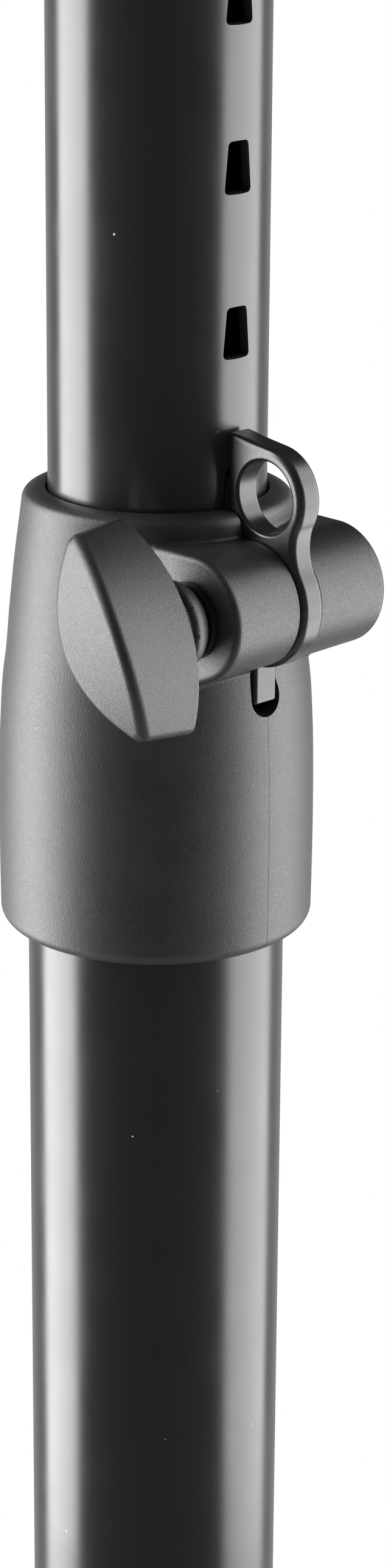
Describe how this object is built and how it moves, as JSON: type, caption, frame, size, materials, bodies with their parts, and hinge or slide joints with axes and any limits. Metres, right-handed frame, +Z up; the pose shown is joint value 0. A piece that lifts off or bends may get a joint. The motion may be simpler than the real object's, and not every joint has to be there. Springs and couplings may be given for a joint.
{
  "type": "studio monitor stand",
  "caption": "Height adjustable stand: flat base, telescopic round column with a sprung latch and wing screw clamp, and a flat padded top plate.",
  "frame": {"origin": "on the floor, on the axis of the column, at the bottom centre of the whole stand", "axes": "+Z up along the column, -Y towards the latch, -X towards the wing knob"},
  "size_m": [0.45, 0.4, 1.0229],
  "materials": {
    "powder_coated_steel": "fine textured black powder coat",
    "satin_paint": "smooth satin black paint",
    "grained_plastic": "dark grey moulded plastic with a fine spark eroded grain",
    "slide_plastic": "smooth natural slide plastic, dark",
    "latch_coating": "smooth satin gloss black coating",
    "foot_rubber": "matte black rubber",
    "mat_rubber": "matte black rubber mat",
    "zinc_steel": "zinc plated",
    "black_screw": "black oxide",
    "insert_brass": "turned brass",
    "spring_steel": "bright spring wire"
  },
  "bodies": {
    "base": {"base_plate": "powder_coated_steel", "base_foot_1": "foot_rubber", "base_foot_2": "foot_rubber", "base_foot_3": "foot_rubber", "base_foot_4": "foot_rubber", "foot_screw_1": "zinc_steel", "foot_screw_2": "zinc_steel", "foot_screw_3": "zinc_steel", "foot_screw_4": "zinc_steel", "column_plug": "zinc_steel", "column_bolt": "zinc_steel", "bolt_washer": "zinc_steel", "base_trim": "grained_plastic", "outer_tube": "satin_paint", "clamp_collar": "grained_plastic", "collar_screw": "black_screw", "guide_bush": "slide_plastic", "threaded_insert": "insert_brass"},
    "column": {"inner_tube": "satin_paint", "lower_glide": "slide_plastic", "glide_pin": "zinc_steel", "top_socket": "powder_coated_steel", "socket_screw_1": "black_screw", "socket_screw_2": "black_screw", "top_plate": "powder_coated_steel", "plate_screw_1": "black_screw", "plate_screw_2": "black_screw", "plate_screw_3": "black_screw", "plate_screw_4": "black_screw", "top_mat": "mat_rubber"},
    "clamp_washer": {"thrust_washer": "black_screw"},
    "clamp_knob": {"wing_knob": "grained_plastic", "clamp_stud": "zinc_steel"},
    "latch_lever": {"latch": "latch_coating", "latch_spring": "spring_steel"}
  },
  "joints": [
    {"name": "height_slide", "type": "slide", "parent": "base", "child": "column", "axis": [0, 0, 1], "range_m": [-0.24, 0.12]},
    {"name": "clamp_feed", "type": "slide", "parent": "base", "child": "clamp_washer", "axis": [1, 0, 0], "range_m": [-0.00187, 0]},
    {"name": "clamp_turn", "type": "hinge", "parent": "clamp_washer", "child": "clamp_knob", "pos_m": [0, -0.029, 0.7097], "axis": [1, 0, 0], "range_deg": [-541, 0]},
    {"name": "latch_release", "type": "hinge", "parent": "base", "child": "latch_lever", "pos_m": [0, -0.029, 0.7097], "axis": [1, 0, 0], "range_deg": [0, 12], "stiffness_Nm_per_rad": 0.12, "springref_deg": -20.05}
  ],
  "couplings": [
    {"joint": "clamp_turn", "follows": "clamp_feed", "rad_per_m": 5026.5}
  ]
}
